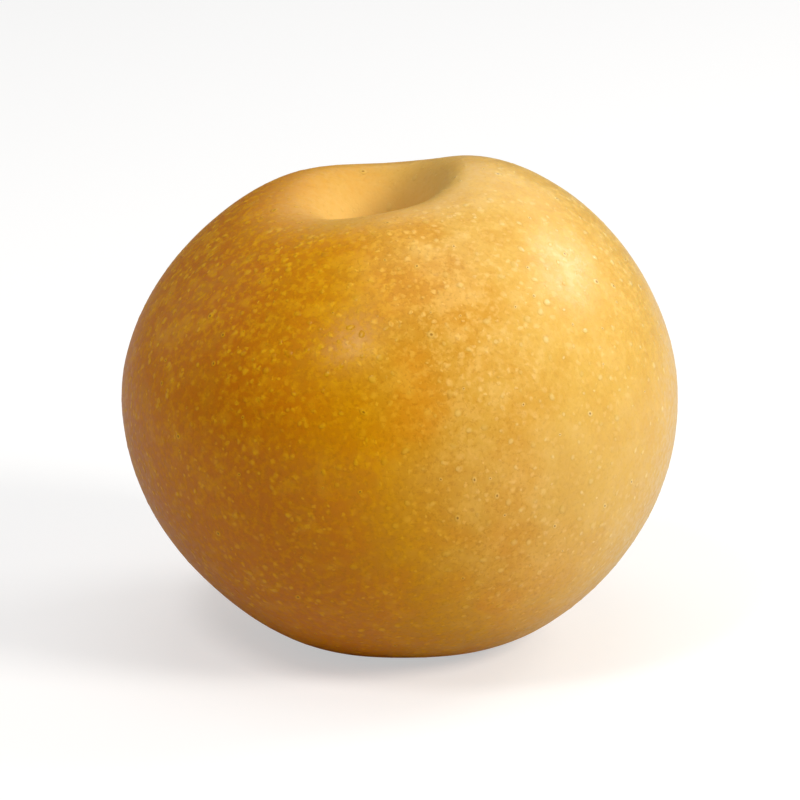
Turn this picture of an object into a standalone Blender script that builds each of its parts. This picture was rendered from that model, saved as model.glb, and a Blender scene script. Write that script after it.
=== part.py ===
"""A round Asian pear, picked, standing on the small flat spot around its eye.

The fruit is turned from one profile and then given the shape that it grew into: a crest
that rises and falls around the stalk cavity, a slight lean, and five faint ribs above the
eye. A clipped stub of stalk sits in the cavity and the dried flower end sits in the eye.
Lengths are in metres, angles in degrees, +Z is up and the front of the fruit faces -Y.
"""

import math

import bmesh
import bpy
from mathutils import Matrix, Vector
from mathutils.geometry import interpolate_bezier

# The fruit's own sizes
GIRTH_RADIUS = 0.0430       # the widest ring
GIRTH_HEIGHT = 0.0381       # its level above the foot
CREST_RADIUS = 0.0140       # the ring of high ground around the stalk cavity
CREST_HEIGHT = 0.0715       # its mean level
FOOT_RADIUS = 0.0119        # outer edge of the flat ring that the fruit stands on
FOOT_WIDTH = 0.0022         # width of that flat ring
CAVITY_DEPTH = 0.0125       # stalk cavity, below the crest
CAVITY_LIP = 0.0070         # how far the crest rounds over into the cavity
EYE_DEPTH = 0.0090          # the hollow around the flower end, above the foot
EYE_LIP = 0.0035            # how far the foot rounds over into the eye
FLOOR_RUN = 0.0025          # how far the floor of either hollow runs out before it climbs
FLOOR_RISE = 0.0010         # how much it climbs over that run, away from the flesh

# How full each stretch of the outline is, as the reach of its curve handle over its span
CREST_FULLNESS = 0.360
SHOULDER_FULLNESS = 0.566
BELLY_FULLNESS = 0.604
BASE_FULLNESS = 0.350

# The way it grew
LEAN = 4.6                  # the top tips this far towards -X
LEAN_PIVOT = 0.0229         # about this level
CREST_WAVES = (             # crests around the rim, height of each, direction of the first
    (1, 0.00150, 33.5),
    (2, 0.00072, -19.6),
    (3, 0.00059, 20.2),
)
RIBS = 5                    # one for each seed cell
RIB_HEIGHT = 0.00035
RIB_TURN = 20.0             # direction of the first rib
RIB_LEVEL = 0.0100          # the ribs are strongest here and fade to nothing at the girth

# Stalk stub and flower end
STALK_RADIUS = 0.00135
STALK_ROOT_RADIUS = 0.0019  # it swells where it enters the flesh
STALK_TIP_RADIUS = 0.0016   # and again at the clipped end
STALK_TIP_ROUND = 0.0003    # where the clipped end is worn
STALK_LENGTH = 0.0050       # above the cavity floor
STALK_SWELL = 0.0012        # length of each swelling
STALK_SEAT_DEPTH = 0.0020   # how deep it goes into the flesh
STALK_BEND = 0.0006         # sideways bow of the tip
CALYX_ROOT_RADIUS = 0.0030
CALYX_ROOM = 0.0006         # between the dried sepals and the wall of the eye
CALYX_LENGTH = 0.0034       # down from the floor of the eye
CALYX_SPREAD_DROP = 0.0022  # the sepals are widest this far below that floor
CALYX_SEAT_DEPTH = 0.0010
CALYX_CUP_DEPTH = 0.0016    # the hollow between the sepals
CALYX_CUP_RADIUS = 0.0022
SEPALS = 5
SEPAL_GAP = 0.16            # how far the outline draws in between two sepals
SEAT_GAP = 0.0003           # clearance around and behind both roots

# How finely it is faceted
FRUIT_SEGMENTS = 60
CREST_STEPS = 9
SHOULDER_STEPS = 10
BELLY_STEPS = 10
EYE_STEPS = 6
SMALL_SEGMENTS = 20
MERGE_DISTANCE = 0.00001

STALK_SEAT_RADIUS = STALK_ROOT_RADIUS + SEAT_GAP
CALYX_SEAT_RADIUS = CALYX_ROOT_RADIUS + SEAT_GAP
CAVITY_FLOOR = CREST_HEIGHT - CAVITY_DEPTH
FOOT_INNER_RADIUS = FOOT_RADIUS - FOOT_WIDTH


def clear_scene():
    for old in list(bpy.data.objects):
        bpy.data.objects.remove(old, do_unlink=True)


def ease(share):
    """0 to 1 with level ends."""
    share = min(max(share, 0.0), 1.0)
    return share * share * (3.0 - 2.0 * share)


def grown(point):
    """Where a point of the plainly turned fruit ends up in the fruit that grew."""
    radius = math.hypot(point.x, point.y)
    around = math.atan2(point.y, point.x)
    height = point.z

    inside_crest = radius < CREST_RADIUS and height > GIRTH_HEIGHT
    if inside_crest:
        wave_share = ease(radius / CREST_RADIUS)
    else:
        wave_share = ease((height - GIRTH_HEIGHT) / (CREST_HEIGHT - GIRTH_HEIGHT))
    for count, rise, turn in CREST_WAVES:
        height += wave_share * rise * math.cos(count * (around - math.radians(turn)))

    rib_share = ease(radius / FOOT_RADIUS) * ease((GIRTH_HEIGHT - point.z) / (GIRTH_HEIGHT - RIB_LEVEL))
    radius += rib_share * RIB_HEIGHT * math.cos(RIBS * (around - math.radians(RIB_TURN)))

    pivot = Vector((0.0, 0.0, LEAN_PIVOT))
    tip = Matrix.Rotation(-math.radians(LEAN) * ease(point.z / CREST_HEIGHT), 3, "Y")
    upright = Vector((radius * math.cos(around), radius * math.sin(around), height))
    return pivot + tip @ (upright - pivot)


def curve_points(start, start_handle, end_handle, end, steps):
    """Points along one Bezier stretch of a profile, without its end point."""
    knots = [Vector((radius, 0.0, height)) for radius, height in (start, start_handle, end_handle, end)]
    return interpolate_bezier(*knots, steps + 1)[:-1]


def eye_points():
    """From the inner edge of the foot up to the floor of the eye."""
    foot_inner = (FOOT_INNER_RADIUS, 0.0)
    floor = (CALYX_SEAT_RADIUS, EYE_DEPTH)
    return curve_points(
        foot_inner,
        (foot_inner[0] - EYE_LIP, foot_inner[1]),
        (floor[0] + FLOOR_RUN, floor[1] - FLOOR_RISE),
        floor,
        EYE_STEPS,
    )


def eye_radius(level):
    """How wide the eye is at a level between the foot and its floor."""
    wall = eye_points() + [Vector((CALYX_SEAT_RADIUS, 0.0, EYE_DEPTH))]
    for lower, upper in zip(wall, wall[1:]):
        if lower.z <= level <= upper.z:
            share = (level - lower.z) / (upper.z - lower.z)
            return lower.x + share * (upper.x - lower.x)
    return wall[-1].x


def fruit_profile():
    """From the axis in the stalk cavity, over the crest and down to the axis in the eye."""
    crest = (CREST_RADIUS, CREST_HEIGHT)
    girth = (GIRTH_RADIUS, GIRTH_HEIGHT)
    foot = (FOOT_RADIUS, 0.0)
    cavity_floor = (STALK_SEAT_RADIUS, CAVITY_FLOOR)
    crest_reach = CREST_FULLNESS * (GIRTH_RADIUS - CREST_RADIUS)
    shoulder_reach = SHOULDER_FULLNESS * (CREST_HEIGHT - GIRTH_HEIGHT)
    belly_reach = BELLY_FULLNESS * GIRTH_HEIGHT
    base_reach = BASE_FULLNESS * (GIRTH_RADIUS - FOOT_RADIUS)

    points = [Vector((0.0, 0.0, CAVITY_FLOOR - STALK_SEAT_DEPTH))]
    points.append(Vector((STALK_SEAT_RADIUS, 0.0, CAVITY_FLOOR - STALK_SEAT_DEPTH)))
    points += curve_points(
        cavity_floor,
        (cavity_floor[0] + FLOOR_RUN, cavity_floor[1] + FLOOR_RISE),
        (crest[0] - CAVITY_LIP, crest[1]),
        crest,
        CREST_STEPS,
    )
    points += curve_points(
        crest,
        (crest[0] + crest_reach, crest[1]),
        (girth[0], girth[1] + shoulder_reach),
        girth,
        SHOULDER_STEPS,
    )
    points += curve_points(
        girth,
        (girth[0], girth[1] - belly_reach),
        (foot[0] + base_reach, foot[1]),
        foot,
        BELLY_STEPS,
    )
    points.append(Vector((FOOT_RADIUS, 0.0, 0.0)))
    points += eye_points()
    points.append(Vector((CALYX_SEAT_RADIUS, 0.0, EYE_DEPTH)))
    points.append(Vector((CALYX_SEAT_RADIUS, 0.0, EYE_DEPTH + CALYX_SEAT_DEPTH)))
    points.append(Vector((0.0, 0.0, EYE_DEPTH + CALYX_SEAT_DEPTH)))
    return points


def turned(name, profile, segments):
    """The solid that a profile sweeps out around Z, as an object whose faces point out."""
    shape = bmesh.new()
    corners = [shape.verts.new(point) for point in profile]
    edges = [shape.edges.new(pair) for pair in zip(corners, corners[1:])]
    bmesh.ops.spin(
        shape,
        geom=corners + edges,
        cent=(0.0, 0.0, 0.0),
        axis=(0.0, 0.0, 1.0),
        angle=2.0 * math.pi,
        steps=segments,
        use_merge=True,
    )
    bmesh.ops.remove_doubles(shape, verts=shape.verts, dist=MERGE_DISTANCE)
    bmesh.ops.recalc_face_normals(shape, faces=shape.faces)
    mesh = bpy.data.meshes.new(name)
    shape.to_mesh(mesh)
    shape.free()
    piece = bpy.data.objects.new(name, mesh)
    bpy.context.scene.collection.objects.link(piece)
    return piece


def reshape(piece, rule):
    """Moves every corner of a piece's mesh by one rule."""
    for corner in piece.data.vertices:
        corner.co = rule(corner.co.copy())
    piece.data.update()


def finish(piece, colour, roughness, sharp_angle):
    """Smooth shading and the piece's own material, its colour given as linear RGB."""
    piece.data.shade_smooth()
    piece.data.set_sharp_from_angle(angle=math.radians(sharp_angle))
    material = bpy.data.materials.new(piece.name)
    material.use_nodes = True
    shader = material.node_tree.nodes["Principled BSDF"]
    shader.inputs["Base Color"].default_value = (*colour, 1.0)
    shader.inputs["Roughness"].default_value = roughness
    shader.inputs["Metallic"].default_value = 0.0
    piece.data.materials.append(material)


def make_fruit():
    """Skin and flesh are one solid, hollowed at the stalk and at the eye."""
    fruit = turned("fruit", fruit_profile(), FRUIT_SEGMENTS)
    reshape(fruit, grown)
    finish(fruit, (0.62, 0.33, 0.06), 0.45, 60.0)
    return fruit


def stalk_bow(point):
    """The stub bows a little towards -Y as it leaves the floor of the cavity."""
    rise = max(point.z - CAVITY_FLOOR, 0.0) / STALK_LENGTH
    return grown(point + Vector((0.0, -STALK_BEND * rise * rise, 0.0)))


def make_stalk():
    """A clipped stub, rooted in a seat in the floor of the cavity."""
    root = CAVITY_FLOOR - STALK_SEAT_DEPTH + SEAT_GAP
    tip = CAVITY_FLOOR + STALK_LENGTH
    profile = [
        (0.0, tip),
        (STALK_TIP_RADIUS - STALK_TIP_ROUND, tip),
        (STALK_TIP_RADIUS, tip - STALK_TIP_ROUND),
        (STALK_RADIUS, tip - STALK_SWELL),
        (STALK_RADIUS, CAVITY_FLOOR + STALK_SWELL),
        (STALK_ROOT_RADIUS, CAVITY_FLOOR),
        (STALK_ROOT_RADIUS, root),
        (0.0, root),
    ]
    stalk = turned("stalk", [Vector((r, 0.0, z)) for r, z in profile], SMALL_SEGMENTS)
    reshape(stalk, stalk_bow)
    finish(stalk, (0.10, 0.05, 0.02), 0.85, 40.0)
    return stalk


def sepal_outline(point):
    """Draws the outline in between the sepals, below the root and outside the cup only."""
    radius = math.hypot(point.x, point.y)
    around = math.atan2(point.y, point.x)
    drop = ease((EYE_DEPTH - point.z) / CALYX_LENGTH)
    spread = ease(radius / CALYX_CUP_RADIUS - 1.0)
    draw = 1.0 - SEPAL_GAP * drop * spread * (0.5 - 0.5 * math.cos(SEPALS * around))
    return grown(Vector((point.x * draw, point.y * draw, point.z)))


def make_calyx():
    """The dried flower end: five shrivelled sepals around a small cup, open downwards."""
    root = EYE_DEPTH + CALYX_SEAT_DEPTH - SEAT_GAP
    rim = EYE_DEPTH - CALYX_LENGTH
    widest = EYE_DEPTH - CALYX_SPREAD_DROP
    spread = eye_radius(widest) - CALYX_ROOM
    profile = [
        (0.0, root),
        (CALYX_ROOT_RADIUS, root),
        (CALYX_ROOT_RADIUS, EYE_DEPTH - FLOOR_RISE),
        (spread, widest),
        (spread, (widest + rim) / 2.0),
        ((spread + CALYX_CUP_RADIUS) / 2.0, rim),
        (CALYX_CUP_RADIUS, rim + CALYX_CUP_DEPTH * 0.5),
        (CALYX_CUP_RADIUS * 0.5, rim + CALYX_CUP_DEPTH),
        (0.0, rim + CALYX_CUP_DEPTH),
    ]
    calyx = turned("calyx", [Vector((r, 0.0, z)) for r, z in profile], SMALL_SEGMENTS)
    reshape(calyx, sepal_outline)
    finish(calyx, (0.06, 0.03, 0.015), 0.9, 40.0)
    return calyx


def stand_on_origin(fruit, pieces):
    """Puts the origin under the middle of the fruit's outline, on the plane of its foot."""
    xs = [corner.co.x for corner in fruit.data.vertices]
    ys = [corner.co.y for corner in fruit.data.vertices]
    middle = Vector(((min(xs) + max(xs)) / 2.0, (min(ys) + max(ys)) / 2.0, 0.0))
    for piece in pieces:
        piece.location = -middle


clear_scene()
fruit = make_fruit()
stalk = make_stalk()
calyx = make_calyx()
stand_on_origin(fruit, [fruit, stalk, calyx])
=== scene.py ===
import math

import bmesh
import bpy
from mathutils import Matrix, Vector, noise


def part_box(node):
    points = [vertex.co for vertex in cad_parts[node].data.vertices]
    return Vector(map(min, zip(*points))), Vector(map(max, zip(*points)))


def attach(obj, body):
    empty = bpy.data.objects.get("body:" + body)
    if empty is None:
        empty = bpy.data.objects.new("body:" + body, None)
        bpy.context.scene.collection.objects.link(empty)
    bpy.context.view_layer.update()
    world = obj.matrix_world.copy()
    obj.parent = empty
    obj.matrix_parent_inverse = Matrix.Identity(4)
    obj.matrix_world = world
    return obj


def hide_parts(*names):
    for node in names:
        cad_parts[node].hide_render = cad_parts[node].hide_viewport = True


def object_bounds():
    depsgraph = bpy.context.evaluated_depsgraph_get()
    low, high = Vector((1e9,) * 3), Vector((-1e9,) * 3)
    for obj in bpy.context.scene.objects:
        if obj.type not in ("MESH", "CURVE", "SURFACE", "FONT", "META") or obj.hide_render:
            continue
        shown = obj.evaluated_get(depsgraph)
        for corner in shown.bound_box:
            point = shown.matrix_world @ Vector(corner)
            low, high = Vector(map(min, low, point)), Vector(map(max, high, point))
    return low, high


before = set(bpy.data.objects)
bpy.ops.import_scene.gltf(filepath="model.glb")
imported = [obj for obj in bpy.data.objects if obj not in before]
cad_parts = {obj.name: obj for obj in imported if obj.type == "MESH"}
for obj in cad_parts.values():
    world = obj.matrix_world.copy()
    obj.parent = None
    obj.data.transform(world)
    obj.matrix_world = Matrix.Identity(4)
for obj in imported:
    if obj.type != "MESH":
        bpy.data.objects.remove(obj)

cad_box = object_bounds()
MM = 0.001  # every length below is in metres, written as so many millimetres


# ---------------------------------------------------------------------------------------
# Fruit: skin and flesh of a round Asian pear, grown as one piece. The skin is thin, waxy
# and golden, a little uneven over the flesh, with a stalk cavity above and an eye below.

def merged_copy(node, name):
    """A CAD node's mesh with its loose triangles joined up and paired into four-sided faces."""
    shape = bmesh.new()
    shape.from_mesh(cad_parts[node].data)
    bmesh.ops.remove_doubles(shape, verts=shape.verts, dist=0.02 * MM)
    bmesh.ops.join_triangles(
        shape,
        faces=shape.faces,
        angle_face_threshold=math.radians(50),
        angle_shape_threshold=math.radians(100),
    )
    mesh = bpy.data.meshes.new(name)
    shape.to_mesh(mesh)
    shape.free()
    for leftover in [a.name for a in mesh.attributes if a.name == "custom_normal"]:
        mesh.attributes.remove(mesh.attributes[leftover])
    piece = bpy.data.objects.new(name, mesh)
    bpy.context.scene.collection.objects.link(piece)
    return piece


def linear(code):
    """An sRGB hex colour as linear RGBA."""
    parts = [int(code[i:i + 2], 16) / 255.0 for i in (1, 3, 5)]
    curve = [c / 12.92 if c <= 0.04045 else ((c + 0.055) / 1.055) ** 2.4 for c in parts]
    return (*curve, 1.0)


def add(tree, kind, inputs=None, **settings):
    """Adds a node, with its settings, and fills its inputs with values or with other sockets."""
    made = tree.nodes.new(kind)
    for name, value in settings.items():
        setattr(made, name, value)
    for name, value in (inputs or {}).items():
        if isinstance(value, bpy.types.NodeSocket):
            tree.links.new(value, made.inputs[name])
        else:
            made.inputs[name].default_value = value
    return made


def tree_with(name, sizes):
    """An empty Geometry Nodes tree with geometry in and out and a named input for each size."""
    tree = bpy.data.node_groups.new(name, "GeometryNodeTree")
    tree.interface.new_socket("Geometry", in_out="INPUT", socket_type="NodeSocketGeometry")
    for size_name in sizes:
        tree.interface.new_socket(size_name, in_out="INPUT", socket_type="NodeSocketFloat")
    tree.interface.new_socket("Geometry", in_out="OUTPUT", socket_type="NodeSocketGeometry")
    return tree, tree.nodes.new("NodeGroupInput"), tree.nodes.new("NodeGroupOutput")


def close_tree(tree, geometry, material, goal):
    """Ends a tree: one plain, smoothly shaded mesh in its material."""
    real = add(tree, "GeometryNodeRealizeInstances", {"Geometry": geometry})
    smooth = add(tree, "GeometryNodeSetShadeSmooth", {"Geometry": real.outputs[0]})
    painted = add(tree, "GeometryNodeSetMaterial", {"Geometry": smooth.outputs[0], "Material": material})
    tree.links.new(painted.outputs[0], goal.inputs[0])


def made_plain(piece, tree, sizes):
    """Runs a tree on a piece and keeps the result as the piece's own plain mesh."""
    modifier = piece.modifiers.new(tree.name, "NODES")
    modifier.node_group = tree
    for item in tree.interface.items_tree:
        if item.in_out == "INPUT" and item.name in sizes:
            modifier[item.identifier] = sizes[item.name]
    bpy.context.view_layer.update()
    evaluated = piece.evaluated_get(bpy.context.evaluated_depsgraph_get())
    mesh = bpy.data.meshes.new_from_object(evaluated)
    piece.modifiers.remove(modifier)
    piece.data = mesh
    mesh.name = piece.name
    return piece


def pattern_scale(size):
    """The texture scale whose features are this long."""
    return 1.0 / size


PATCH_SIZE = 13 * MM             # broad clouds of greener and of redder gold
CLUMP_SIZE = 9 * MM              # flecks and lenticels lie closer together in some places than in others
WARP_SIZE = 1.0 * MM             # how far apart the kinks in the flecks' outlines are
FLECK_SPACING = 1.6 * MM         # faint flecks of thin cork, this far apart
MOTTLE_SIZE = 4.5 * MM           # light and dark mottling
FRECKLE_SIZE = 1.00 * MM         # the russet's pale net, finer in life and drawn coarse enough to show
GRAIN_SIZE = 0.60 * MM           # the grain of the skin, also finer in life
CAVITY_REACH = 29 * MM           # the cavity is smooth and pale, out to here from the stalk; its pale cream is partly painted light on the lit wall
STALK_STAIN_REACH = 5.5 * MM     # corky staining around the stalk
FLOWER_STAIN_REACH = 8 * MM      # and around the flower end
EDGE_TEAR = 0.3                  # how ragged the edges of all three are, as a share of their reach
CLOUD_SHIFT_OF_LIT_SIDE = 0.3             # how far the clouds push the edge of the sunned, lit side about, in fruit radii
CROWN_DEPTH = 8 * MM             # the flecks are strongest within this of the top
RELIEF = 0.10 * MM               # the depth of the grain and of the thin flecks
SKIN_BUMP = 0.5
SUNNED_AND_LIT_SIDE = Vector((1.0, 0.0, 0.3))  # the side that ripened palest, and also the lit side: its paleness is partly painted light

DEEP_FLANK_AND_PAINTED_SHADE = "#C87200"   # the flank turned away from that side: deeper gold of its own, and partly painted shade
DEEP_GOLD = "#D68C00"
GREEN_GOLD = "#D09000"
MOTTLE_GOLD = "#CC8A0C"  # the darker mottles
PALE_SIDE_AND_PAINTED_SHEEN = "#E2B452"    # the sunned side: paler from ripening, and partly a painted sheen of the lamps on that side
FLECK_GOLD = "#E8AA10"   # flecks on the flank
PALE_FLECK_AND_PAINTED_SHEEN = "#FAD88E"  # and on the sunned side, paler there partly as painted sheen
GRAIN_BROWN = "#A86400"
UNDER_GLOSS = "#EDA83C"  # the gloss under the wax takes the colour of the skin
# The cavity's cream is partly its own pale colour and partly painted light, which lifts the lit wall
# against the warm bounce inside.
CAVITY_CREAM_AND_PAINTED_LIGHT = "#E0B664"
STALK_STAIN = "#94691F"
FLOWER_STAIN = "#7C5A1E"

stalk_low, stalk_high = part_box("stalk")
fruit_low, fruit_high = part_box("fruit")
calyx_low, calyx_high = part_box("calyx")
stalk_foot = (stalk_low + stalk_high) / 2.0
calyx_middle = (calyx_low + calyx_high) / 2.0
fruit_middle = (fruit_low + fruit_high) / 2.0
fruit_radius = (fruit_high.x - fruit_low.x) / 2.0


def skin_layers(tree):
    """Colour, fleck colour, freckles, wax and relief of the skin, which its cork spots share."""
    place = add(tree, "ShaderNodeTexCoord").outputs["Object"]
    up = add(tree, "ShaderNodeSeparateXYZ", {0: place}).outputs["Z"]
    kinks = add(tree, "ShaderNodeTexNoise", {
        "Vector": place, "Scale": pattern_scale(WARP_SIZE), "Detail": 2.0})
    warped = add(tree, "ShaderNodeVectorMath", {
        0: kinks.outputs["Color"], 1: (WARP_SIZE,) * 3, 2: place}, operation="MULTIPLY_ADD").outputs[0]
    cells = add(tree, "ShaderNodeTexVoronoi", {
        "Vector": warped, "Scale": pattern_scale(FLECK_SPACING), "Randomness": 1.0})
    cell_value = add(tree, "ShaderNodeSeparateColor", {"Color": cells.outputs["Color"]}).outputs[0]
    fleck_edge = add(tree, "ShaderNodeMapRange", {"Value": cell_value, "To Min": 0.18, "To Max": 0.48})

    pattern = {}
    for name, at, size, detail, rough in (
        ("clouds", place, PATCH_SIZE, 2.0, 0.5),
        ("clumps", place, CLUMP_SIZE, 1.0, 0.5),
        ("mottle", place, MOTTLE_SIZE, 3.0, 0.6),
        ("freckles", place, FRECKLE_SIZE, 3.0, 0.6),
        ("grain", warped, GRAIN_SIZE, 2.0, 0.6),
    ):
        pattern[name] = add(tree, "ShaderNodeTexNoise", {
            "Vector": at, "Scale": pattern_scale(size), "Detail": detail,
            "Roughness": rough}).outputs["Fac"]

    # The skin pales towards the sunned side and deepens on the far flank. This is partly real ripening
    # and partly painted light: a painted sheen on the lit side and painted shade on the far flank.
    from_middle = add(tree, "ShaderNodeVectorMath", {0: place, 1: fruit_middle}, operation="SUBTRACT")
    towards = add(tree, "ShaderNodeVectorMath", {
        0: from_middle.outputs[0], 1: SUNNED_AND_LIT_SIDE.normalized() / fruit_radius}, operation="DOT_PRODUCT")
    ripeness_and_painted_light = add(tree, "ShaderNodeMath", {
        0: pattern["clouds"], 1: CLOUD_SHIFT_OF_LIT_SIDE, 2: towards.outputs["Value"]},
        operation="MULTIPLY_ADD").outputs[0]

    torn = {}  # distances as shares of the reach, their edges torn by the freckles
    for name, middle, reach in (
        ("cavity", stalk_foot, CAVITY_REACH),
        ("stalk stain", stalk_foot, STALK_STAIN_REACH),
        ("flower stain", calyx_middle, FLOWER_STAIN_REACH),
    ):
        away = add(tree, "ShaderNodeVectorMath", {0: place, 1: middle}, operation="DISTANCE")
        shifted = add(tree, "ShaderNodeMath", {
            0: pattern["freckles"], 1: EDGE_TEAR * reach, 2: away.outputs["Value"]},
            operation="MULTIPLY_ADD")
        torn[name] = add(tree, "ShaderNodeMath", {
            0: shifted.outputs[0], 1: reach}, operation="DIVIDE").outputs[0]

    share = {}  # each eases from low to high while its value goes from start to end
    for name, value, start, end, low, high in (
        ("greener", pattern["clouds"], 0.40, 0.60, 0.0, 1.0),
        ("shaded", ripeness_and_painted_light, 0.25, -0.35, 0.0, 1.0),
        ("sunned_and_painted_sheen", ripeness_and_painted_light, 0.06, 0.86, 0.0, 1.0),
        ("lively", ripeness_and_painted_light, 0.30, 0.85, 1.0, 0.38),
        ("crown", up, fruit_middle.z, fruit_high.z - CROWN_DEPTH, 0.80, 1.5),
        ("clumped", pattern["clumps"], 0.35, 0.60, 0.45, 1.15),
        ("bare", torn["cavity"], 0.60, 0.95, 0.15, 1.0),
        ("mottled", pattern["mottle"], 0.52, 0.34, 0.0, 0.36),
        ("lightened", pattern["mottle"], 0.50, 0.66, 0.0, 0.32),
        ("flecked", cells.outputs["Distance"], fleck_edge.outputs[0], 0.12, 0.0, 0.66),
        ("freckled", pattern["freckles"], 0.46, 0.66, 0.0, 0.36),
        ("grained", pattern["grain"], 0.50, 0.70, 0.0, 0.28),
        ("cavity", torn["cavity"], 1.0, 0.45, 0.0, 0.85),
        ("stalk stain", torn["stalk stain"], 1.0, 0.45, 0.0, 0.60),
        ("flower stain", torn["flower stain"], 1.0, 0.45, 0.0, 0.80),
        ("waxed", torn["cavity"], 0.55, 0.85, 0.0, 1.0),
        ("waxier", ripeness_and_painted_light, 0.10, 0.80, 0.50, 1.75),
        ("wax", pattern["freckles"], 0.40, 0.62, 0.50, 0.22),
    ):
        share[name] = add(tree, "ShaderNodeMapRange", {
            "Value": value, "From Min": start, "From Max": end, "To Min": low, "To Max": high},
            interpolation_type="SMOOTHSTEP").outputs[0]
    for name, factors in (
        ("mottled", ("lively", "bare", "crown")),
        ("lightened", ("lively", "bare", "crown")),
        ("flecked", ("lively", "bare", "crown", "clumped")),
        ("freckled", ("lively", "bare", "crown")),
        ("grained", ("lively",)),
        ("wax", ("waxed", "waxier")),
    ):
        for factor in factors:
            share[name] = add(tree, "ShaderNodeMath", {
                0: share[name], 1: share[factor]}, operation="MULTIPLY").outputs[0]

    # The flecks go from gold to cream towards the sunned side, partly as painted sheen.
    fleck_colour = add(tree, "ShaderNodeMix", {
        0: share["sunned_and_painted_sheen"], 6: linear(FLECK_GOLD), 7: linear(PALE_FLECK_AND_PAINTED_SHEEN)}, data_type="RGBA").outputs[2]
    fleck_colour = add(tree, "ShaderNodeMix", {
        0: share["cavity"], 6: fleck_colour, 7: linear(CAVITY_CREAM_AND_PAINTED_LIGHT)}, data_type="RGBA").outputs[2]
    colour = linear(DEEP_GOLD)
    for name, tint in (
        ("greener", linear(GREEN_GOLD)),
        # painted shade on the far flank and painted sheen on the sunned side, over the real ripening
        ("shaded", linear(DEEP_FLANK_AND_PAINTED_SHADE)),
        ("sunned_and_painted_sheen", linear(PALE_SIDE_AND_PAINTED_SHEEN)),
        ("mottled", linear(MOTTLE_GOLD)),
        ("lightened", fleck_colour),
        ("flecked", fleck_colour),
        ("freckled", fleck_colour),
        ("grained", linear(GRAIN_BROWN)),
        # the cavity's pale cream, partly painted light
        ("cavity", linear(CAVITY_CREAM_AND_PAINTED_LIGHT)),
        ("stalk stain", linear(STALK_STAIN)),
        ("flower stain", linear(FLOWER_STAIN)),
    ):
        colour = add(tree, "ShaderNodeMix", {
            0: share[name], 6: colour, 7: tint}, data_type="RGBA").outputs[2]

    relief = add(tree, "ShaderNodeMath", {
        0: pattern["grain"], 1: -0.6, 2: share["flecked"]}, operation="MULTIPLY_ADD")
    return colour, fleck_colour, pattern["freckles"], share["wax"], relief.outputs[0]


def wax_and_flesh(shader):
    """A thin wax over skin that lets light a little way into the flesh, to come back warmer."""
    shader.inputs["Coat Roughness"].default_value = 0.28
    shader.inputs["IOR"].default_value = 1.42
    shader.inputs["Specular IOR Level"].default_value = 0.28
    shader.inputs["Specular Tint"].default_value = linear(UNDER_GLOSS)
    shader.inputs["Subsurface Weight"].default_value = 0.10
    shader.inputs["Subsurface Radius"].default_value = (1.0, 0.55, 0.20)
    shader.inputs["Subsurface Scale"].default_value = 1.2 * MM


def pear_skin():
    """Waxed, thin russet skin: golden, mottled, with pale corky flecks and a soft gloss."""
    material = bpy.data.materials.new("pear_skin")
    material.use_nodes = True
    tree = material.node_tree
    shader = tree.nodes["Principled BSDF"]
    colour, _, freckles, wax, relief = skin_layers(tree)
    tree.links.new(colour, shader.inputs["Base Color"])
    dulled = add(tree, "ShaderNodeMapRange", {
        "Value": freckles, "From Min": 0.35, "From Max": 0.70, "To Min": 0.44, "To Max": 0.60})
    tree.links.new(dulled.outputs[0], shader.inputs["Roughness"])
    tree.links.new(wax, shader.inputs["Coat Weight"])
    bump = add(tree, "ShaderNodeBump", {
        "Strength": SKIN_BUMP, "Distance": RELIEF, "Height": relief})
    tree.links.new(bump.outputs[0], shader.inputs["Normal"])
    wax_and_flesh(shader)
    return material


SWELL_SIZE = 24 * MM        # the flesh swells and sinks a little under the skin
SWELL_HEIGHT = 0.45 * MM
DIMPLE_SIZE = 4.5 * MM      # and the skin itself is faintly dimpled
DIMPLE_HEIGHT = 0.10 * MM
FOOT_FADE = 5 * MM          # the foot stays as flat as it stands
SMOOTHING_LOSS = 0.20 * MM  # smoothing draws the mesh in by this much, so it is put back

skin = pear_skin()
fruit = merged_copy("fruit", "pear_fruit")
fruit_sizes = {
    "Swell Size": SWELL_SIZE,
    "Swell Height": SWELL_HEIGHT,
    "Dimple Size": DIMPLE_SIZE,
    "Dimple Height": DIMPLE_HEIGHT,
    "Foot Fade": FOOT_FADE,
    "Smoothing Loss": SMOOTHING_LOSS,
}
tree, sizes_in, goal = tree_with("uneven_flesh", fruit_sizes)
fine = add(tree, "GeometryNodeSubdivisionSurface", {"Mesh": sizes_in.outputs["Geometry"], "Level": 2})
place = add(tree, "GeometryNodeInputPosition").outputs[0]
outward = add(tree, "GeometryNodeInputNormal").outputs[0]
rise = sizes_in.outputs["Smoothing Loss"]
for word in ("Swell", "Dimple"):
    scale = add(tree, "ShaderNodeMath", {
        0: 1.0, 1: sizes_in.outputs[f"{word} Size"]}, operation="DIVIDE")
    field = add(tree, "ShaderNodeTexNoise", {
        "Vector": place, "Scale": scale.outputs[0], "Detail": 1.0})
    centred = add(tree, "ShaderNodeMath", {0: field.outputs[0], 1: 0.5}, operation="SUBTRACT")
    height = add(tree, "ShaderNodeMath", {
        0: centred.outputs[0], 1: sizes_in.outputs[f"{word} Height"]}, operation="MULTIPLY")
    rise = add(tree, "ShaderNodeMath", {0: rise, 1: height.outputs[0]}, operation="ADD").outputs[0]
level = add(tree, "ShaderNodeSeparateXYZ", {0: place}).outputs["Z"]
fade = add(tree, "ShaderNodeMapRange", {
    "Value": level, "From Min": 0.0, "From Max": sizes_in.outputs["Foot Fade"]},
    interpolation_type="SMOOTHSTEP")
faded = add(tree, "ShaderNodeMath", {0: rise, 1: fade.outputs[0]}, operation="MULTIPLY")
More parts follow.
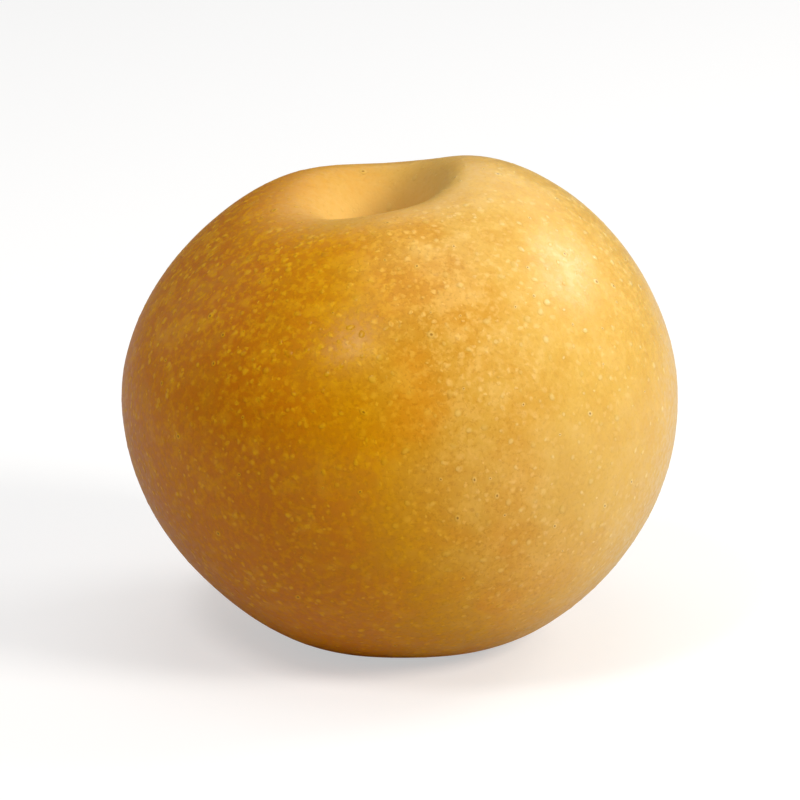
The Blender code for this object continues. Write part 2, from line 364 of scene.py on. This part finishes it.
offset = add(tree, "ShaderNodeVectorMath", {0: outward, 3: faded.outputs[0]}, operation="SCALE")
moved = add(tree, "GeometryNodeSetPosition", {
    "Geometry": fine.outputs[0], "Offset": offset.outputs[0]})
close_tree(tree, moved.outputs[0], skin, goal)
made_plain(fruit, tree, fruit_sizes)
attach(fruit, "root")
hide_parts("fruit")


# ---------------------------------------------------------------------------------------
# Lenticels: the breathing pores of the skin, each healed over with a low scab of pale cork.
# They are part of the skin, scattered a few millimetres apart, and a few keep a dark pore.

LENTICEL_SPACING = 2.1 * MM
LENTICEL_RADIUS = 0.60 * MM
LENTICEL_HEIGHT = 0.07     # share of its own radius that it stands up
LENTICEL_FLOOR = 1.5 * MM  # none where the fruit touches what it stands on
LENTICEL_SEGMENTS = 8
LENTICEL_CROWDING = 1.6    # points tried for each square of that spacing, before the close ones go
PORE_TONE = 0.86           # the few whose random tone is above this keep a pore
PORE_BROWN = "#8A5204"


def cork():
    """Dry cork, palest at the middle of each spot and shining less than the skin around it."""
    material = bpy.data.materials.new("pear_cork")
    material.use_nodes = True
    tree = material.node_tree
    shader = tree.nodes["Principled BSDF"]
    colour, fleck_colour, _, wax, relief = skin_layers(tree)
    tone = add(tree, "ShaderNodeAttribute", attribute_name="tone").outputs["Fac"]
    rim = add(tree, "ShaderNodeAttribute", attribute_name="rim").outputs["Fac"]
    paleness = add(tree, "ShaderNodeMapRange", {"Value": tone, "To Min": 0.15, "To Max": 0.85})
    whole = add(tree, "ShaderNodeMapRange", {
        "Value": rim, "From Min": 1.0, "From Max": 0.35, "To Max": paleness.outputs[0]},
        interpolation_type="SMOOTHSTEP")
    has_pore = add(tree, "ShaderNodeMath", {0: tone, 1: PORE_TONE}, operation="GREATER_THAN")
    in_pore = add(tree, "ShaderNodeMapRange", {
        "Value": rim, "From Min": 0.50, "From Max": 0.15, "To Max": 0.75},
        interpolation_type="SMOOTHSTEP")
    pore = add(tree, "ShaderNodeMath", {
        0: has_pore.outputs[0], 1: in_pore.outputs[0]}, operation="MULTIPLY")
    for share, tint in ((whole, fleck_colour), (pore, linear(PORE_BROWN))):
        colour = add(tree, "ShaderNodeMix", {
            0: share.outputs[0], 6: colour, 7: tint}, data_type="RGBA").outputs[2]
    tree.links.new(colour, shader.inputs["Base Color"])
    tree.links.new(wax, shader.inputs["Coat Weight"])
    shader.inputs["Roughness"].default_value = 0.55
    bump = add(tree, "ShaderNodeBump", {
        "Strength": SKIN_BUMP, "Distance": RELIEF, "Height": relief})
    tree.links.new(bump.outputs[0], shader.inputs["Normal"])
    wax_and_flesh(shader)
    return material


def scab():
    """A low lens of radius one at the skin, whose rim is tucked in under it."""
    shape = bmesh.new()
    rows = []
    for reach, level in ((0.5, 0.72), (1.0, 0.0), (1.2, -0.8)):
        rows.append([shape.verts.new((
            reach * math.cos(2 * math.pi * i / LENTICEL_SEGMENTS),
            reach * math.sin(2 * math.pi * i / LENTICEL_SEGMENTS), level))
            for i in range(LENTICEL_SEGMENTS)])
    crown = shape.verts.new((0.0, 0.0, 1.0))
    root = shape.verts.new((0.0, 0.0, -1.6))
    for i in range(LENTICEL_SEGMENTS):
        j = (i + 1) % LENTICEL_SEGMENTS
        shape.faces.new((crown, rows[0][i], rows[0][j]))
        shape.faces.new((root, rows[2][j], rows[2][i]))
        for inner, outer in zip(rows, rows[1:]):
            shape.faces.new((inner[i], outer[i], outer[j], inner[j]))
    mesh = bpy.data.meshes.new("scab")
    shape.to_mesh(mesh)
    shape.free()
    rims = mesh.attributes.new("rim", "FLOAT", "POINT")
    for corner, value in zip(mesh.vertices, rims.data):
        value.value = math.hypot(corner.co.x, corner.co.y)
    return bpy.data.objects.new("scab", mesh)


lenticel_sizes = {
    "Spacing": LENTICEL_SPACING,
    "Radius": LENTICEL_RADIUS,
    "Height": LENTICEL_HEIGHT,
    "Floor": LENTICEL_FLOOR,
    "Clump Size": CLUMP_SIZE,
}
one_scab = scab()
tree, sizes_in, goal = tree_with("lenticel_scatter", lenticel_sizes)
place = add(tree, "GeometryNodeInputPosition").outputs[0]
level = add(tree, "ShaderNodeSeparateXYZ", {0: place}).outputs["Z"]
above = add(tree, "FunctionNodeCompare", {0: level, 1: sizes_in.outputs["Floor"]},
            data_type="FLOAT", operation="GREATER_THAN")
clump_scale = add(tree, "ShaderNodeMath", {
    0: 1.0, 1: sizes_in.outputs["Clump Size"]}, operation="DIVIDE")
clumps = add(tree, "ShaderNodeTexNoise", {
    "Vector": place, "Scale": clump_scale.outputs[0], "Detail": 1.0})
crowding = add(tree, "ShaderNodeMapRange", {
    "Value": clumps.outputs[0], "From Min": 0.3, "From Max": 0.6, "To Min": 0.35, "To Max": 1.0})
spots = add(tree, "GeometryNodeDistributePointsOnFaces", {
    "Mesh": sizes_in.outputs["Geometry"],
    "Selection": above.outputs[0],
    "Distance Min": sizes_in.outputs["Spacing"],
    "Density Max": LENTICEL_CROWDING / LENTICEL_SPACING ** 2,
    "Density Factor": crowding.outputs[0],
    "Seed": 7,
}, distribute_method="POISSON")
tone = add(tree, "FunctionNodeRandomValue", {"Seed": 11}, data_type="FLOAT")
toned = add(tree, "GeometryNodeStoreNamedAttribute", {
    "Geometry": spots.outputs["Points"], "Name": "tone", "Value": tone.outputs[1]},
    data_type="FLOAT", domain="POINT")
spread = add(tree, "FunctionNodeRandomValue", {"Seed": 23}, data_type="FLOAT")
skewed = add(tree, "ShaderNodeMath", {0: spread.outputs[1], 1: 2.0}, operation="POWER")
share = add(tree, "ShaderNodeMapRange", {"Value": skewed.outputs[0], "To Min": 0.55, "To Max": 1.25})
reach = add(tree, "ShaderNodeMath", {
    0: share.outputs[0], 1: sizes_in.outputs["Radius"]}, operation="MULTIPLY")
narrowing = add(tree, "FunctionNodeRandomValue", {2: 0.6, 3: 1.0, "Seed": 31}, data_type="FLOAT")
narrow = add(tree, "ShaderNodeMath", {
    0: reach.outputs[0], 1: narrowing.outputs[1]}, operation="MULTIPLY")
stands = add(tree, "ShaderNodeMath", {
    0: reach.outputs[0], 1: sizes_in.outputs["Height"]}, operation="MULTIPLY")
spans = add(tree, "ShaderNodeCombineXYZ", {
    0: reach.outputs[0], 1: narrow.outputs[0], 2: stands.outputs[0]})
model = add(tree, "GeometryNodeObjectInfo", {"Object": one_scab})
scattered = add(tree, "GeometryNodeInstanceOnPoints", {
    "Points": toned.outputs[0],
    "Instance": model.outputs["Geometry"],
    "Rotation": spots.outputs["Rotation"],
    "Scale": spans.outputs[0],
})
spin = add(tree, "FunctionNodeRandomValue", {
    0: (0.0, 0.0, 0.0), 1: (0.0, 0.0, math.pi), "Seed": 37}, data_type="FLOAT_VECTOR")
turned = add(tree, "GeometryNodeRotateInstances", {
    "Instances": scattered.outputs[0], "Rotation": spin.outputs[0]})
close_tree(tree, turned.outputs[0], cork(), goal)
lenticels = bpy.data.objects.new("skin_lenticels", fruit.data.copy())
bpy.context.scene.collection.objects.link(lenticels)
made_plain(lenticels, tree, lenticel_sizes)
bpy.data.objects.remove(one_scab)
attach(lenticels, "root")


# ---------------------------------------------------------------------------------------
# Stalk: a woody stub, clipped short in the cavity so that it can't spike its neighbours.
# Grooved bark, swollen where it grows out of the flesh, with a torn fibrous end.

STALK_RINGS = 36
STALK_SIDES = 40
STALK_GROOVES = 7
STALK_GROOVE_DEPTH = 0.05  # share of the radius
STALK_WAIST = 1.35 * MM    # its radius between the collar and the end
COLLAR_RADIUS = 2.9 * MM   # the root spreads over its seat
COLLAR_TOP = 2.0 * MM      # as wide as that up to here
COLLAR_FADE = 0.495 * MM   # and narrower by this scale above
END_SWELL = 0.25 * MM      # the clipped end is a little thicker
END_LENGTH = 0.9 * MM
GROOVE_TWIST = 2.0 * MM    # the ripple of the grooves shifts by a radian in this length
BARK_LUMP = 0.08           # share of the radius
BARK_LUMPS_AROUND = 1.6
BARK_LUMP_LENGTH = 0.9 * MM
CUT_RINGS = 6
CUT_SINK = 0.35 * MM       # the middle of the cut has shrunk by this
FIBRE_HEIGHT = 0.22 * MM
FIBRES_PER_METRE = 4200.0
BARK_STREAK = 0.35 * MM    # streaks of the bark, coarser than real fibres so that they show
BARK_RELIEF = 0.12 * MM
BARK_DARK = "#3A2413"
BARK_LIGHT = "#9A7040"
CUT_BROWN = "#4A3018"
CUT_STAIN = 1.3 * MM       # the bark darkens over this much below the cut
END_SLICE = 0.4 * MM       # the ends of the stalk are found from slices of this depth


def ends_of(node, depth):
    """The middles of the lowest and of the highest slice of a CAD node."""
    low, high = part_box(node)
    corners = [corner.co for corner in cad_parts[node].data.vertices]
    bottom = [c for c in corners if c.z < low.z + depth]
    top = [c for c in corners if c.z > high.z - depth]
    return sum(bottom, Vector()) / len(bottom), sum(top, Vector()) / len(top)


def closed_tube(name, rings, start, end):
    """A closed solid from rings of points, each end closed at a single point."""
    shape = bmesh.new()
    rows = [[shape.verts.new(point) for point in ring] for ring in rings]
    for row, next_row in zip(rows, rows[1:]):
        for i in range(len(row)):
            j = (i + 1) % len(row)
            shape.faces.new((row[i], row[j], next_row[j], next_row[i]))
    for row, point in ((rows[0], start), (rows[-1], end)):
        pole = shape.verts.new(point)
        for i in range(len(row)):
            shape.faces.new((pole, row[i], row[(i + 1) % len(row)]))
    bmesh.ops.recalc_face_normals(shape, faces=shape.faces)
    mesh = bpy.data.meshes.new(name)
    shape.to_mesh(mesh)
    shape.free()
    mesh.shade_smooth()
    piece = bpy.data.objects.new(name, mesh)
    bpy.context.scene.collection.objects.link(piece)
    return piece


def bark():
    """Dry young wood: dull brown, streaked along its length and darker at the cut."""
    material = bpy.data.materials.new("pear_stalk_bark")
    material.use_nodes = True
    tree = material.node_tree
    shader = tree.nodes["Principled BSDF"]
    place = add(tree, "ShaderNodeTexCoord").outputs["Object"]
    stretched = add(tree, "ShaderNodeMapping", {"Vector": place, "Scale": (1.0, 1.0, 0.22)})
    streaks = add(tree, "ShaderNodeTexNoise", {
        "Vector": stretched.outputs[0], "Scale": pattern_scale(BARK_STREAK), "Detail": 4.0,
        "Roughness": 0.65})
    ramp = add(tree, "ShaderNodeValToRGB", {"Fac": streaks.outputs["Fac"]})
    ramp.color_ramp.elements[0].position = 0.32
    ramp.color_ramp.elements[0].color = linear(BARK_DARK)
    ramp.color_ramp.elements[1].position = 0.70
    ramp.color_ramp.elements[1].color = linear(BARK_LIGHT)
    level = add(tree, "ShaderNodeSeparateXYZ", {0: place}).outputs["Z"]
    near_cut = add(tree, "ShaderNodeMapRange", {
        "Value": level, "From Min": stalk_high.z - CUT_STAIN, "From Max": stalk_high.z,
        "To Min": 0.0, "To Max": 0.8}, interpolation_type="SMOOTHSTEP")
    colour = add(tree, "ShaderNodeMix", {
        0: near_cut.outputs[0], 6: ramp.outputs["Color"], 7: linear(CUT_BROWN)}, data_type="RGBA")
    tree.links.new(colour.outputs[2], shader.inputs["Base Color"])
    bump = add(tree, "ShaderNodeBump", {
        "Strength": 0.7, "Distance": BARK_RELIEF, "Height": streaks.outputs["Fac"]})
    tree.links.new(bump.outputs[0], shader.inputs["Normal"])
    shader.inputs["Roughness"].default_value = 0.82
    return material


stalk_base, stalk_tip = ends_of("stalk", END_SLICE)
stalk_axis = (stalk_tip - stalk_base).normalized()
side = stalk_axis.orthogonal().normalized()
across = stalk_axis.cross(side)
stalk_length = (stalk_tip - stalk_base).length


def stalk_radius(run):
    """Collar, waist and swollen end, by distance from the root."""
    above_collar = max(run - COLLAR_TOP, 0.0)
    collar = (COLLAR_RADIUS - STALK_WAIST) * math.exp(-above_collar / COLLAR_FADE)
    swell = END_SWELL * math.exp(-((stalk_length - run) / END_LENGTH) ** 2)
    return STALK_WAIST + collar + swell


def stalk_point(run, turn, share=1.0):
    """A point of the bark, or of the cut where the share is under one."""
    around = Vector((math.cos(turn), math.sin(turn), 0.0))
    grooved = 1.0 + STALK_GROOVE_DEPTH * math.cos(STALK_GROOVES * turn + run / GROOVE_TWIST)
    lumps = Vector((around.x * BARK_LUMPS_AROUND, around.y * BARK_LUMPS_AROUND, run / BARK_LUMP_LENGTH))
    rough = 1.0 + BARK_LUMP * noise.noise(lumps)
    reach = stalk_radius(run) * grooved * rough * share
    return stalk_base + stalk_axis * run + reach * (side * around.x + across * around.y)


rings = []
for step in range(STALK_RINGS + 1):
    run = stalk_length * step / STALK_RINGS
    rings.append([stalk_point(run, 2 * math.pi * i / STALK_SIDES) for i in range(STALK_SIDES)])
for step in range(1, CUT_RINGS + 1):
    share = 1.0 - step / (CUT_RINGS + 1.0)
    ring = []
    for i in range(STALK_SIDES):
        turn = 2 * math.pi * i / STALK_SIDES
        point = stalk_point(stalk_length, turn, share)
        fibres = noise.noise(point * FIBRES_PER_METRE)
        sunk = CUT_SINK * (1.0 - share ** 2)
        ring.append(point + stalk_axis * (FIBRE_HEIGHT * fibres - sunk))
    rings.append(ring)
stalk = closed_tube("stalk_stub", rings, stalk_base, stalk_tip - stalk_axis * CUT_SINK)
stalk.data.materials.append(bark())
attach(stalk, "root")
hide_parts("stalk")


# ---------------------------------------------------------------------------------------
# Flower end: what is left of the blossom in the eye underneath. Five sepals, dried and
# curled over a small cup, joined to the flesh, around a tuft of withered stamens.

SEPALS = 5
SEPAL_LENGTH = 3.2 * MM
SEPAL_WIDTH = 2.5 * MM
SEPAL_THICKNESS = 0.30 * MM
SEPAL_STEPS = 14
SEPAL_SIDES = 10
SEPAL_ROOT_DROP = 1.0 * MM  # they leave the cup this far under the root
SEPAL_BOW = 1.5 * MM        # bow out by this
SEPAL_CURL = 1.6 * MM       # curl in by this at the tip
SEPAL_TIP = 0.12 * MM       # half the width of the tip
SEPAL_CUPPING = 0.35        # how hollow they are across, as a share of half their width
SEPAL_CRUMPLE = 0.35 * MM
CRUMPLES_PER_METRE = 900.0
SEPAL_STRAY = 0.15          # how unevenly they stand around the cup
CUP_RADIUS = 2.5 * MM
CUP_WALL = 0.5 * MM         # the cup is this much wider than the ring the sepals stand on
CUP_DEPTH = 2.2 * MM        # its lip hangs this far under the root
CUP_HOLLOW = 0.9 * MM       # its floor is this much higher than its lip
CUP_STEPS = 12
CUP_SIDES = 36
CUP_LIP = 0.6               # share of the steps that go down its outside
CUP_NARROWING = 0.6         # share of the radius that the steps inside take
CUP_LUMP = 0.08             # share of the radius
STAMEN_ROOT = CUP_DEPTH - CUP_HOLLOW
WRINKLE_SIZE = 0.5 * MM
WRINKLE_RELIEF = 0.10 * MM
WITHERED_DARK = "#24160C"
WITHERED_LIGHT = "#76522C"


def withered():
    """Dead plant tissue: nearly black in the folds, brown where it is rubbed."""
    material = bpy.data.materials.new("pear_withered_blossom")
    material.use_nodes = True
    tree = material.node_tree
    shader = tree.nodes["Principled BSDF"]
    place = add(tree, "ShaderNodeTexCoord").outputs["Object"]
    wrinkles = add(tree, "ShaderNodeTexNoise", {
        "Vector": place, "Scale": pattern_scale(WRINKLE_SIZE), "Detail": 4.0, "Roughness": 0.65})
    ramp = add(tree, "ShaderNodeValToRGB", {"Fac": wrinkles.outputs["Fac"]})
    ramp.color_ramp.elements[0].position = 0.35
    ramp.color_ramp.elements[0].color = linear(WITHERED_DARK)
    ramp.color_ramp.elements[1].position = 0.72
    ramp.color_ramp.elements[1].color = linear(WITHERED_LIGHT)
    tree.links.new(ramp.outputs["Color"], shader.inputs["Base Color"])
    bump = add(tree, "ShaderNodeBump", {
        "Strength": 0.7, "Distance": WRINKLE_RELIEF, "Height": wrinkles.outputs["Fac"]})
    tree.links.new(bump.outputs[0], shader.inputs["Normal"])
    shader.inputs["Roughness"].default_value = 0.85
    return material


calyx_root = Vector((calyx_middle.x, calyx_middle.y, calyx_high.z))
blossom = withered()


def sepal_rings(direction):
    """A cupped blade that leaves the root outwards, hangs down and curls in at its tip."""
    out = Vector((math.cos(direction), math.sin(direction), 0.0))
    sideways = Vector((-out.y, out.x, 0.0))
    rings = []
    for step in range(SEPAL_STEPS + 1):
        run = step / SEPAL_STEPS
        bow = SEPAL_BOW * math.sin(math.pi * min(run * 1.25, 1.0))
        reach = CUP_RADIUS + bow - SEPAL_CURL * run ** 3
        drop = -SEPAL_ROOT_DROP - SEPAL_LENGTH * run * (1.0 - 0.15 * run)
        middle = calyx_root + out * reach + Vector((0.0, 0.0, drop))
        half = 0.5 * SEPAL_WIDTH * (1.0 - run) ** 0.7 + SEPAL_TIP
        ring = []
        for i in range(SEPAL_SIDES * 2):
            turn = math.pi * i / SEPAL_SIDES
            flat = half * math.cos(turn)
            cup = SEPAL_CUPPING * flat * flat / (0.5 * SEPAL_WIDTH)
            point = middle + sideways * flat + out * (0.5 * SEPAL_THICKNESS * math.sin(turn) - cup)
            at = point * CRUMPLES_PER_METRE
            crumple = Vector((noise.noise(at + out), noise.noise(at - out), 0.0))
            ring.append(point + SEPAL_CRUMPLE * run * crumple)
        rings.append(ring)
    return rings


sepals = []
for k in range(SEPALS):
    rings = sepal_rings(2 * math.pi * (k + SEPAL_STRAY * math.sin(3.0 * k)) / SEPALS)
    middles = [sum(ring, Vector()) / len(ring) for ring in (rings[0], rings[-1])]
    sepals.append(closed_tube(f"sepal_{k}", rings, middles[0], middles[1]))
cup_rings = []
for step in range(CUP_STEPS + 1):
    share = step / CUP_STEPS
    outside = min(share / CUP_LIP, 1.0)
    inside = max(share - CUP_LIP, 0.0) / (1.0 - CUP_LIP)
    reach = CUP_RADIUS * (0.99 if share < CUP_LIP else 1.0 - CUP_NARROWING * inside) + CUP_WALL
    drop = -CUP_DEPTH * outside + CUP_HOLLOW * inside
    ring = []
    for i in range(CUP_SIDES):
        turn = 2 * math.pi * i / CUP_SIDES
        out = Vector((math.cos(turn), math.sin(turn), 0.0))
        rough = 1.0 + CUP_LUMP * noise.noise(out * 2.5 + Vector((0.0, 0.0, share * 3.0)))
        ring.append(calyx_root + out * reach * rough + Vector((0.0, 0.0, drop)))
    cup_rings.append(ring)
cup_end = calyx_root + Vector((0.0, 0.0, -STAMEN_ROOT))
cup = closed_tube("flower_cup", cup_rings, calyx_root, cup_end)
for piece in sepals + [cup]:
    piece.data.materials.append(blossom)
    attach(piece, "root")
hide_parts("calyx")

STAMENS = 16
STAMEN_SIDEWAYS = 0.4 * MM  # how far the middle of each is bent aside
STAMEN_RADIUS = 0.09 * MM
STAMEN_LENGTH = 2.3 * MM
ANTHER_RADIUS = 0.20 * MM
STAMEN_RING = 1.3 * MM

stamen_sizes = {
    "Ring Radius": STAMEN_RING,
    "Length": STAMEN_LENGTH,
    "Thread Radius": STAMEN_RADIUS,
    "Anther Radius": ANTHER_RADIUS,
}
tree, sizes_in, goal = tree_with("stamen_tuft", stamen_sizes)
ring = add(tree, "GeometryNodeMeshCircle", {
    "Vertices": STAMENS, "Radius": sizes_in.outputs["Ring Radius"]})
end_drop = add(tree, "ShaderNodeMath", {0: sizes_in.outputs["Length"], 1: -1.0}, operation="MULTIPLY")
down = add(tree, "ShaderNodeCombineXYZ", {2: end_drop.outputs[0]})
mid_drop = add(tree, "ShaderNodeMath", {0: sizes_in.outputs["Length"], 1: -0.5}, operation="MULTIPLY")
bend = add(tree, "ShaderNodeCombineXYZ", {0: STAMEN_SIDEWAYS, 2: mid_drop.outputs[0]})
thread_line = add(tree, "GeometryNodeCurveQuadraticBezier", {
    "Resolution": 6, "Start": (0.0, 0.0, 0.0), "Middle": bend.outputs[0], "End": down.outputs[0]})
thread_round = add(tree, "GeometryNodeCurvePrimitiveCircle", {
    "Resolution": 6, "Radius": sizes_in.outputs["Thread Radius"]})
thread = add(tree, "GeometryNodeCurveToMesh", {
    "Curve": thread_line.outputs[0], "Profile Curve": thread_round.outputs[0], "Fill Caps": True})
anther_ball = add(tree, "GeometryNodeMeshIcoSphere", {
    "Radius": sizes_in.outputs["Anther Radius"], "Subdivisions": 2})
anther = add(tree, "GeometryNodeTransform", {
    "Geometry": anther_ball.outputs[0], "Translation": down.outputs[0]})
one = add(tree, "GeometryNodeJoinGeometry")
tree.links.new(thread.outputs[0], one.inputs[0])
tree.links.new(anther.outputs[0], one.inputs[0])
tilt = add(tree, "FunctionNodeRandomValue", {
    0: (-0.5, -0.5, 0.0), 1: (0.5, 0.5, 6.283), "Seed": 5}, data_type="FLOAT_VECTOR")
length = add(tree, "FunctionNodeRandomValue", {2: 0.65, 3: 1.05, "Seed": 9}, data_type="FLOAT")
tuft = add(tree, "GeometryNodeInstanceOnPoints", {
    "Points": ring.outputs[0], "Instance": one.outputs[0], "Rotation": tilt.outputs[0],
    "Scale": length.outputs[1]})
lowered = add(tree, "GeometryNodeSetPosition", {
    "Geometry": add(tree, "GeometryNodeRealizeInstances", {"Geometry": tuft.outputs[0]}).outputs[0],
    "Offset": cup_end})
close_tree(tree, lowered.outputs[0], blossom, goal)
stamens = bpy.data.objects.new("stamens", bpy.data.meshes.new("stamens"))
bpy.context.scene.collection.objects.link(stamens)
made_plain(stamens, tree, stamen_sizes)
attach(stamens, "root")


# ---------------------------------------------------------------------------------------
# Set: a plain matt white table in a white surround. Both look brighter to the camera than to
# the fruit, so that the ground stays white while little of its light falls on the skin.

TABLE_HALF = 3.0          # metres, past what the camera sees
TABLE_SEEN = "#C4C4C4"    # its paint to the camera
TABLE_GLOW = 0.50         # and what is added to that
TABLE_BOUNCE = "#D8D8D8"  # its paint to every other ray
SURROUND_SEEN = 1.0       # the surround to the camera
SURROUND_LIGHT = 0.12     # and to every other ray
WHITE = "#FFFFFF"
KEY_WHITE = "#FFFAF2"     # the main lamp is a little warmer than the rest
table_mesh = bpy.data.meshes.new("table")
table_mesh.from_pydata(
    [(-TABLE_HALF, -TABLE_HALF, 0), (TABLE_HALF, -TABLE_HALF, 0), (TABLE_HALF, TABLE_HALF, 0),
     (-TABLE_HALF, TABLE_HALF, 0)],
    [], [(0, 1, 2, 3)])
table = bpy.data.objects.new("table", table_mesh)
bpy.context.scene.collection.objects.link(table)
table_paint = bpy.data.materials.new("white_table")
table_paint.use_nodes = True
table_tree = table_paint.node_tree
table_tree.nodes.remove(table_tree.nodes["Principled BSDF"])
seen = add(table_tree, "ShaderNodeLightPath").outputs["Is Camera Ray"]
seen_paint = add(table_tree, "ShaderNodeBsdfDiffuse", {"Color": linear(TABLE_SEEN)})
seen_glow = add(table_tree, "ShaderNodeEmission", {"Color": linear(WHITE), "Strength": TABLE_GLOW})
seen_sum = add(table_tree, "ShaderNodeAddShader", {0: seen_paint.outputs[0], 1: seen_glow.outputs[0]})
bounce = add(table_tree, "ShaderNodeBsdfDiffuse", {"Color": linear(TABLE_BOUNCE)})
table_mix = add(table_tree, "ShaderNodeMixShader", {
    0: seen, 1: bounce.outputs[0], 2: seen_sum.outputs[0]})
table_tree.links.new(table_mix.outputs[0], table_tree.nodes["Material Output"].inputs["Surface"])
table.data.materials.append(table_paint)

scene = bpy.context.scene
world = bpy.data.worlds.new("surround")
world.use_nodes = True
sky_tree = world.node_tree
sky_seen = add(sky_tree, "ShaderNodeLightPath").outputs["Is Camera Ray"]
sky_level = add(sky_tree, "ShaderNodeMapRange", {
    "Value": sky_seen, "To Min": SURROUND_LIGHT, "To Max": SURROUND_SEEN})
sky = sky_tree.nodes["Background"]
sky.inputs["Color"].default_value = linear(WHITE)
sky_tree.links.new(sky_level.outputs[0], sky.inputs["Strength"])
scene.world = world
scene.view_settings.view_transform = "Standard"

aim = Vector((0.0, 0.0, (cad_box[0][2] + cad_box[1][2]) / 2.0))
LAMP_DISTANCE = 0.9


def softbox(name, bearing, elevation, width, height, power, colour, gleams=True):
    """A rectangular area lamp that faces the fruit from one direction, and may show in its gloss."""
    turn, climb = math.radians(bearing), math.radians(elevation)
    direction = Vector((
        math.cos(climb) * math.cos(turn), math.cos(climb) * math.sin(turn), math.sin(climb)))
    lamp = bpy.data.lights.new(name, "AREA")
    lamp.shape = "RECTANGLE"
    lamp.size = width
    lamp.size_y = height
    lamp.energy = power
    lamp.color = linear(colour)[:3]
    holder = bpy.data.objects.new(name, lamp)
    holder.location = aim + direction * LAMP_DISTANCE
    holder.rotation_euler = direction.to_track_quat("Z", "Y").to_euler()
    holder.visible_glossy = gleams
    scene.collection.objects.link(holder)


# The key is small, for a firm shade in the cavity, and it is kept out of the gloss. The wax
# shows the gleam and the window instead, and the fill is for the side turned away.
softbox("key", -31.0, 31.0, 0.28, 0.28, 5.4, KEY_WHITE, gleams=False)
softbox("gleam", 28.0, 39.0, 0.36, 0.30, 2.1, WHITE)
softbox("top", 0.0, 88.0, 0.60, 0.60, 1.8, WHITE)
softbox("window", -126.0, 56.0, 0.17, 0.27, 2.3, WHITE)
softbox("back", 78.0, 38.0, 0.60, 0.40, 0.7, WHITE)
softbox("fill", 150.0, 25.0, 0.60, 0.60, 0.5, WHITE)

CAMERA_DISTANCE = 0.90
CAMERA_ELEVATION = 16.5
CAMERA_LENS = 262.0
camera_data = bpy.data.cameras.new("camera")
camera_data.lens = CAMERA_LENS
camera = bpy.data.objects.new("camera", camera_data)
up = math.radians(CAMERA_ELEVATION)
camera.location = aim + CAMERA_DISTANCE * Vector((0.0, -math.cos(up), math.sin(up)))
camera.rotation_euler = (math.radians(90.0) - up, 0.0, 0.0)
scene.collection.objects.link(camera)
scene.camera = camera
